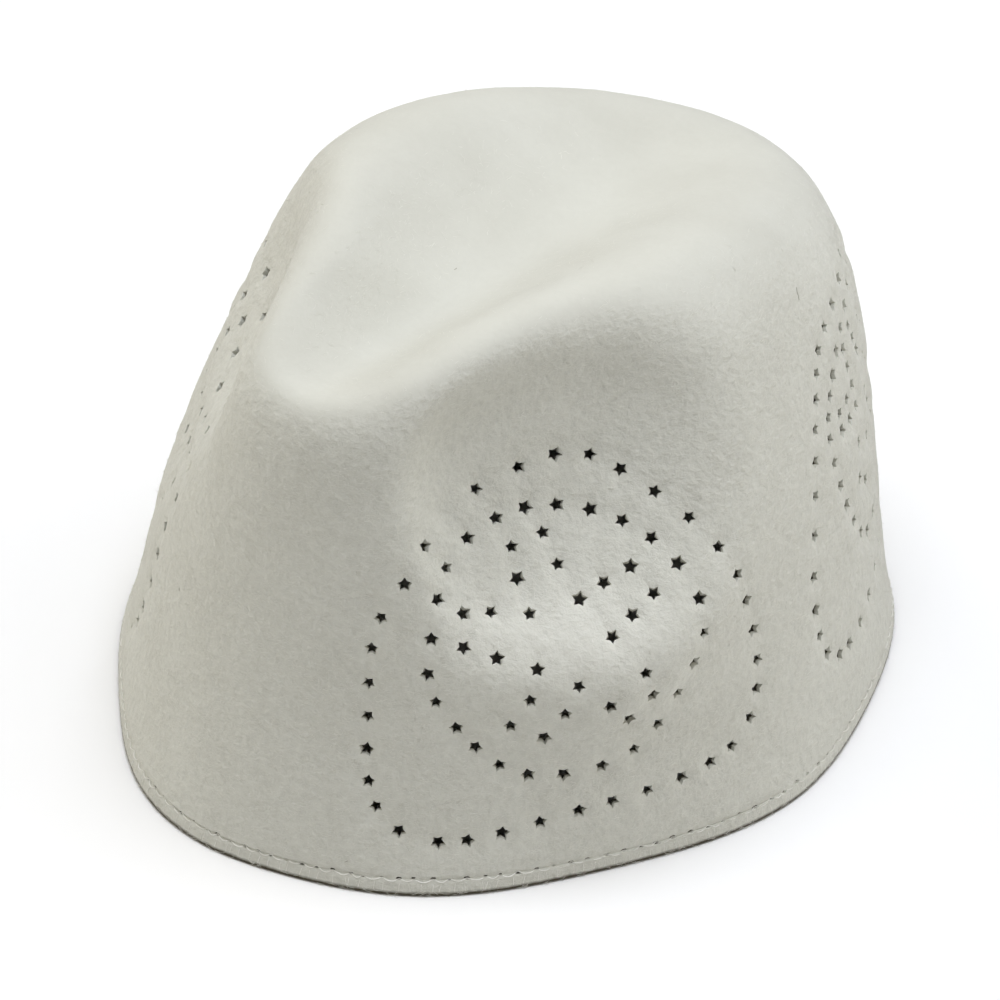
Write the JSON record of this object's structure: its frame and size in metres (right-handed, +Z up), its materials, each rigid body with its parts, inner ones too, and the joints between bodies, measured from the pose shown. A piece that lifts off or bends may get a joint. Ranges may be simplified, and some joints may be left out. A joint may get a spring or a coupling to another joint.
{
  "type": "felt kufi cap",
  "caption": "Brimless felt cap with a pinched nose, a teardrop dent in the crown and star punches in its wall.",
  "frame": {"origin": "centre of the hem's box, on the surface that the hem rests on", "axes": "+Z up, -Y towards the pinched nose, +X towards the wearer's left"},
  "size_m": [0.1724, 0.195, 0.1201],
  "materials": {
    "felt": "matte pressed wool felt"
  },
  "bodies": {
    "root": {"felt_crown": "felt"}
  },
  "joints": []
}
